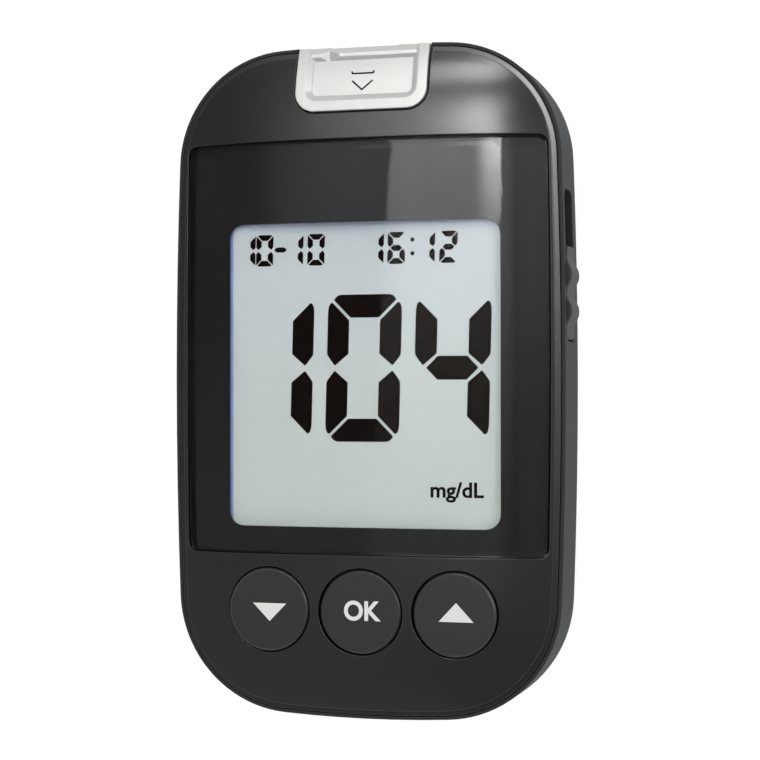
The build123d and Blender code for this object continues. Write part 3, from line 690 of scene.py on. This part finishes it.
def rounded_frame(
    centre, half_width, half_length, radius, side_bow=0.0, top_bow=0.0, side_steps=28, corner_steps=7
):
    """Points round a rounded rectangle whose sides and top may bow outwards, always the same number."""
    points = []
    corners = ((1, -1, -90), (1, 1, 0), (-1, 1, 90), (-1, -1, 180))
    for right, up, start in corners:
        middle = (right * (half_width - radius), up * (half_length - radius))
        for step in range(corner_steps):
            turn = math.radians(start + 90 * step / (corner_steps - 1))
            points.append((middle[0] + radius * math.cos(turn), middle[1] + radius * math.sin(turn)))
        upright = start in (-90, 90)
        reach = (half_length if upright else half_width) - radius
        for step in range(1, side_steps):
            along = 2 * step / side_steps - 1
            bow = (1 - along**2) * (side_bow if upright else (top_bow if start == 0 else 0))
            if upright:
                points.append((right * (half_width + bow), right * along * reach))
            else:
                points.append((-up * along * reach, up * (half_length + bow)))
    return [(centre[0] + x, centre[1] + y) for x, y in points]


def lens_frame(inset):
    """Outline of the lens in plan, drawn in from its edge by an inset."""
    return rounded_frame(
        centre=(0, (LENS_BOTTOM + LENS_TOP) / 2),
        half_width=LENS_END_HALF_WIDTH - inset,
        half_length=(LENS_TOP - LENS_BOTTOM) / 2 - inset,
        radius=LENS_CORNER_RADIUS - inset,
        side_bow=LENS_SIDE_BOW,
        top_bow=LENS_TOP_BOW,
    )


def between(first, second, share):
    """Points part of the way from one ring of points to another."""
    return [(x + (u - x) * share, y + (v - y) * share) for (x, y), (u, v) in zip(first, second)]


def lens_and_print():
    """The clear lens with its rounded edge, and the black print over its back and up its wall."""
    window = rounded_frame(WINDOW_CENTRE, WINDOW_SIZE[0] / 2, WINDOW_SIZE[1] / 2, WINDOW_CORNER_RADIUS)
    middle = [WINDOW_CENTRE] * len(window)
    inner = [between(window, middle, step / WINDOW_RINGS) for step in range(WINDOW_RINGS)]
    outer = [between(lens_frame(LENS_EDGE), window, step / BORDER_RINGS) for step in range(BORDER_RINGS)]
    face = [on_crown(ring, 0) for ring in outer + inner]
    edge_break = LENS_EDGE * EDGE_BREAK
    edge = [on_crown(lens_frame(edge_break), edge_break), on_crown(lens_frame(0), LENS_EDGE)]
    wall_foot = on_crown(lens_frame(0), LENS_THICKNESS)
    back = [on_crown(ring, LENS_THICKNESS) for ring in outer + inner]
    rings = face[::-1] + edge + [wall_foot] + back
    lens = ring_piece("lens", rings, True, FINISHES["clear_acrylic"], "root")
    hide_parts("display_lens")
    inner_foot, outer_foot = lens_frame(PRINT_MARGIN + PRINT_THICKNESS), lens_frame(PRINT_MARGIN)
    upper = [on_crown(inner_foot, EDGE_PRINT_TOP)]
    lower = [on_crown(outer_foot, EDGE_PRINT_TOP)]
    depth = LENS_THICKNESS - PRINT_LIFT
    for step in range(BORDER_RINGS + 1):
        share = step / BORDER_RINGS
        upper.append(on_crown(between(inner_foot, window, share), depth))
        lower.append(on_crown(between(outer_foot, window, share), depth + PRINT_THICKNESS))
    ring_piece("lens_print", upper + lower[::-1], False, mask_print(), "root")


# Display segments ---------------------------------------------------------------------------
def circle(centre, radius, sides=12):
    """Points round a circle."""
    turns = [2 * math.pi * side / sides for side in range(sides)]
    return [(centre[0] + radius * math.cos(turn), centre[1] + radius * math.sin(turn)) for turn in turns]


def round_corner(start, corner, end, steps=5):
    """Points of a smooth curve that stands for a corner between two points."""
    points = []
    for step in range(steps + 1):
        t = step / steps
        weights = ((1 - t) ** 2, 2 * t * (1 - t), t**2)
        controls = list(zip(weights, (start, corner, end)))
        points.append(tuple(sum(weight * point[axis] for weight, point in controls) for axis in (0, 1)))
    return points


def digit_segments(digit, right, bottom, width, height, stroke, gap, rounding=1.0):
    """Outlines of a digit's lit segments, with mitred ends and outer corners that are rounded by a share.
    Each is drawn down from the digit's top left corner."""
    middle = height / 2
    mitre = gap * MITRE_SHARE
    skew = SKEW * stroke
    tip = middle - TIP_CLEARANCE * gap

    start, corner, end = [(x * rounding * stroke, y * rounding * stroke) for x, y in UPRIGHT_CORNER]
    upright = round_corner(start, corner, (end[0], end[1] + skew + mitre))
    upright += [(stroke, stroke + skew + mitre), (stroke, tip - UPRIGHT_SHOULDER * stroke)]
    upright += round_corner(*[(x * stroke, tip - y * stroke) for x, y in UPRIGHT_TIP])

    start, corner, end = [(x * stroke, y * stroke) for x, y in TOP_CORNER]
    top = round_corner((start[0], start[1] + skew - mitre), corner, end)
    top += [(width - x, y) for x, y in top[::-1]]
    inset = TOP_INSET * stroke + mitre
    top += [(width - inset, TOP_DEPTH * stroke), (inset, TOP_DEPTH * stroke)]

    left_half = [
        (BAR_SHOULDER * stroke, middle + BAR_HALF_DEPTH * stroke),
        (BAR_TIP * stroke, middle),
        (BAR_SHOULDER * stroke, middle - BAR_HALF_DEPTH * stroke),
    ]
    bar = left_half + [(width - x, y) for x, y in left_half[::-1]]

    outlines = {
        "a": top,
        "b": [(width - x, y) for x, y in upright],
        "c": [(width - x, height - y) for x, y in upright],
        "d": [(x, height - y) for x, y in top],
        "e": [(x, height - y) for x, y in upright],
        "f": upright,
        "g": bar,
    }
    left = right - width
    placed = []
    for key in LIT_SEGMENTS[digit]:
        drawn = [(x, height - y) for x, y in outlines[key]]
        placed.append([(left + x + DIGIT_SLANT * (y - middle), bottom + y) for x, y in drawn])
    return placed


def display_reading():
    """The big reading, the small date and time, and the unit, dark on the display glass."""
    outlines = []
    for digit, right in READING:
        outlines += digit_segments(digit, right * MM, **READING_DIGITS)
    for digit, right in DATE_DIGITS + TIME_DIGITS:
        outlines += digit_segments(digit, right * MM, **SMALL_DIGITS)
    outlines.append([(DASH_CENTRE[0] + x * MM, DASH_CENTRE[1] + y * MM) for x, y in DASH_OUTLINE])
    outlines += [circle((COLON_X, height), COLON_RADIUS) for height in COLON_HEIGHTS]
    place = {"floor": GLASS_FACE, "thickness": INK_THICKNESS}
    finish = {"material": DARK_INK_AND_GROOVE_SHADE, "slot": "black_mask", "body": "root"}
    flat_pieces("display_segments", outlines, **place, **finish)
    unit_style = (UNIT_CAPITALS, UNIT_STRETCH, UNIT_WEIGHT)
    lettering("display_unit", "mg/dL", UNIT_CENTRE, *unit_style, **place, **finish)


# Key legends --------------------------------------------------------------------------------
def triangle(x, base, tip):
    """Outline of a triangle that points up or down."""
    return [(x - TRIANGLE_HALF_WIDTH, base), (x, tip), (x + TRIANGLE_HALF_WIDTH, base)]


def key_legends():
    """A triangle down, plain letters and a triangle up, printed on the three keys."""
    down, middle, up = [sum(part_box("button_" + name), Vector()) / 2 for name in ("down", "ok", "up")]
    down_outline = triangle(down.x + DOWN_SHIFT, down.y + DOWN_BASE, down.y + DOWN_TIP)
    up_outline = triangle(up.x + UP_SHIFT, up.y + UP_BASE, up.y + UP_TIP)
    centre = (middle.x + LETTERS_SHIFT[0], middle.y + LETTERS_SHIFT[1])
    finish = (KEY_FACE, LEGEND_THICKNESS, KEY_PRINT, "key_plastic")
    flat_pieces("legend_down", [down_outline], *finish, "button_down")
    flat_pieces("legend_up", [up_outline], *finish, "button_up")
    letter_style = (LETTERS_CAPITALS, LETTERS_STRETCH, LETTERS_WEIGHT)
    lettering("legend_ok", "OK", centre, *letter_style, *finish, "button_ok")


# Insertion mark in the strip port -----------------------------------------------------------
def stroke_sides(points, width):
    """The two sides of a line of even width through points, as pairs of left and right."""
    pairs = []
    for index, (x, y) in enumerate(points):
        before = Vector(points[max(index - 1, 0)])
        after = Vector(points[min(index + 1, len(points) - 1)])
        here = Vector((x, y))
        into = (here - before).normalized() if index else (after - here).normalized()
        out = (after - here).normalized() if index < len(points) - 1 else into
        along = (into + out).normalized()
        side = Vector((-along.y, along.x)) * (width / 2 / max(MITRE_LIMIT, along.dot(out)))
        pairs.append(((x + side.x, y + side.y), (x - side.x, y - side.y)))
    return pairs


def tray_height(x, y):
    """Height of the strip port's tray at a place."""
    from_above = Vector((x, y, OVER_TRAY))
    return frame["nodes"]["strip_port"].ray_cast(from_above, Vector((0, 0, -1)))[1].z


def port_mark():
    """A short bar over an arrowhead as dark strokes lying on the tray of the strip port: painted shade that
    stands for an engraved mark.
    """
    mesh = bmesh.new()
    for line in (MARK_BAR, MARK_HEAD):
        rows = []
        for left, right in stroke_sides([(x * MM, y * MM) for x, y in line], MARK_STROKE):
            section = ((left, -MARK_DEPTH), (right, -MARK_DEPTH), (right, MARK_DEPTH), (left, MARK_DEPTH))
            rows.append([mesh.verts.new((x, y, tray_height(x, y) + rise)) for (x, y), rise in section])
        for row, following in zip(rows, rows[1:]):
            join_rings(mesh, row, following)
        mesh.faces.new(rows[0])
        mesh.faces.new(rows[-1])
    add_piece("port_mark", closed_mesh("port_mark", mesh), DARK_INK_AND_GROOVE_SHADE, "root")


# Studio -------------------------------------------------------------------------------------
def plate(name, corners):
    """A flat plate of the studio, from its corners in space."""
    data = bpy.data.meshes.new(name)
    data.from_pydata(corners, [], [tuple(range(len(corners)))])
    return link_object(name, data)


def pale_world():
    """The same pale grey light from all round."""
    world = bpy.data.worlds.new("studio")
    bpy.context.scene.world = world
    world.use_nodes = True
    tree = world.node_tree
    tree.nodes.clear()
    output = tree.nodes.new("ShaderNodeOutputWorld")
    background = tree.nodes.new("ShaderNodeBackground")
    background.inputs["Color"].default_value = (WORLD_GREY, WORLD_GREY, WORLD_GREY, 1.0)
    tree.links.new(background.outputs["Background"], output.inputs["Surface"])


def pale_floor():
    """A wide pale floor that keeps a soft shadow, and is clear from below."""
    corners = ((-1, -1), (1, -1), (1, 1), (-1, 1))
    floor = plate("floor", [(x * FLOOR_REACH, y * FLOOR_REACH, FLOOR_PLACE) for x, y in corners])
    material, tree, output = bare_material("floor_paper")
    paper = tree.nodes.new("ShaderNodeBsdfDiffuse")
    paper.inputs["Color"].default_value = (FLOOR_GREY, FLOOR_GREY, FLOOR_GREY, 1.0)
    glow = tree.nodes.new("ShaderNodeEmission")
    glow.inputs["Strength"].default_value = FLOOR_GLOW
    clear = tree.nodes.new("ShaderNodeBsdfTransparent")
    rays = tree.nodes.new("ShaderNodeLightPath").outputs
    seen = math_node(tree, "MAXIMUM", rays["Is Camera Ray"], rays["Is Glossy Ray"])
    seen = math_node(tree, "MAXIMUM", seen, rays["Is Transmission Ray"])
    share = math_node(tree, "MULTIPLY", seen, FLOOR_GLOW_SHARE)
    from_above = mix_shaders(tree, share, paper.outputs["BSDF"], glow.outputs["Emission"])
    from_below = tree.nodes.new("ShaderNodeNewGeometry").outputs["Backfacing"]
    surface = mix_shaders(tree, from_below, from_above, clear.outputs["BSDF"])
    tree.links.new(surface, output.inputs["Surface"])
    floor.data.materials.append(material)


def glowing_plate(name, corners):
    """Adds a studio card that is seen only in gloss. Gives its node tree and the strength of its glow."""
    piece = plate(name, corners)
    material, tree, output = bare_material(name)
    glow = tree.nodes.new("ShaderNodeEmission")
    tree.links.new(glow.outputs["Emission"], output.inputs["Surface"])
    piece.data.materials.append(material)
    piece.visible_camera = False
    piece.visible_diffuse = False
    piece.visible_shadow = False
    return tree, glow.inputs["Strength"]


def card(name, corners, height, glow, fade, sides=None, streak=None):
    """A level card over the object. The comment on CARDS says what its values are."""
    tree, strength = glowing_plate(name, [(x * MM, y * MM, height * MM) for x, y in corners])
    across, along = object_axes(tree)
    fade_start, fade_end = fade[0] * MM, fade[1] * MM
    level = past(tree, along, fade_start, fade_end, *glow)
    if sides:
        dimming = past(tree, across, sides["dim_x"] * MM, sides["full_x"] * MM, low=sides["share_left"])
        level = math_node(tree, "MULTIPLY", level, dimming)
    if streak:
        rise = past(tree, across, streak["start_x"] * MM, streak["full_x"] * MM)
        grow = past(tree, along, streak["foot_y"] * MM, fade_end, high=streak["far_glow"])
        level = math_node(tree, "ADD", level, math_node(tree, "MULTIPLY", rise, grow))
    tree.links.new(level, strength)


def upright_card(name, start, end, rise, glow):
    """A card on edge from one place to another, as high as rise, with lengths in millimetres."""
    foot = [Vector([length * MM for length in place]) for place in (start, end)]
    head = [place + Vector((0, 0, rise * MM)) for place in foot]
    _, strength = glowing_plate(name, foot + head[::-1])
    strength.default_value = glow


def studio():
    """The pale world and floor, and the cards that give the gloss its lights and darks."""
    pale_world()
    pale_floor()
    for name, values in CARDS.items():
        card(name, **values)
    upright_card("lip_strip", **LIP_STRIP)


def view():
    """The camera, and colours without a film look."""
    lens = bpy.data.cameras.new("camera")
    lens.sensor_width = SENSOR_WIDTH
    lens.lens = LENS_LENGTH
    lens.clip_start = NEAREST_SEEN
    camera = link_object("camera", lens)
    camera.location = CAMERA_PLACE
    camera.rotation_euler = CAMERA_TURN
    bpy.context.scene.camera = camera
    bpy.context.scene.view_settings.view_transform = "Standard"


view()
dress_nodes()
lens_and_print()
display_reading()
port_mark()
key_legends()
studio()
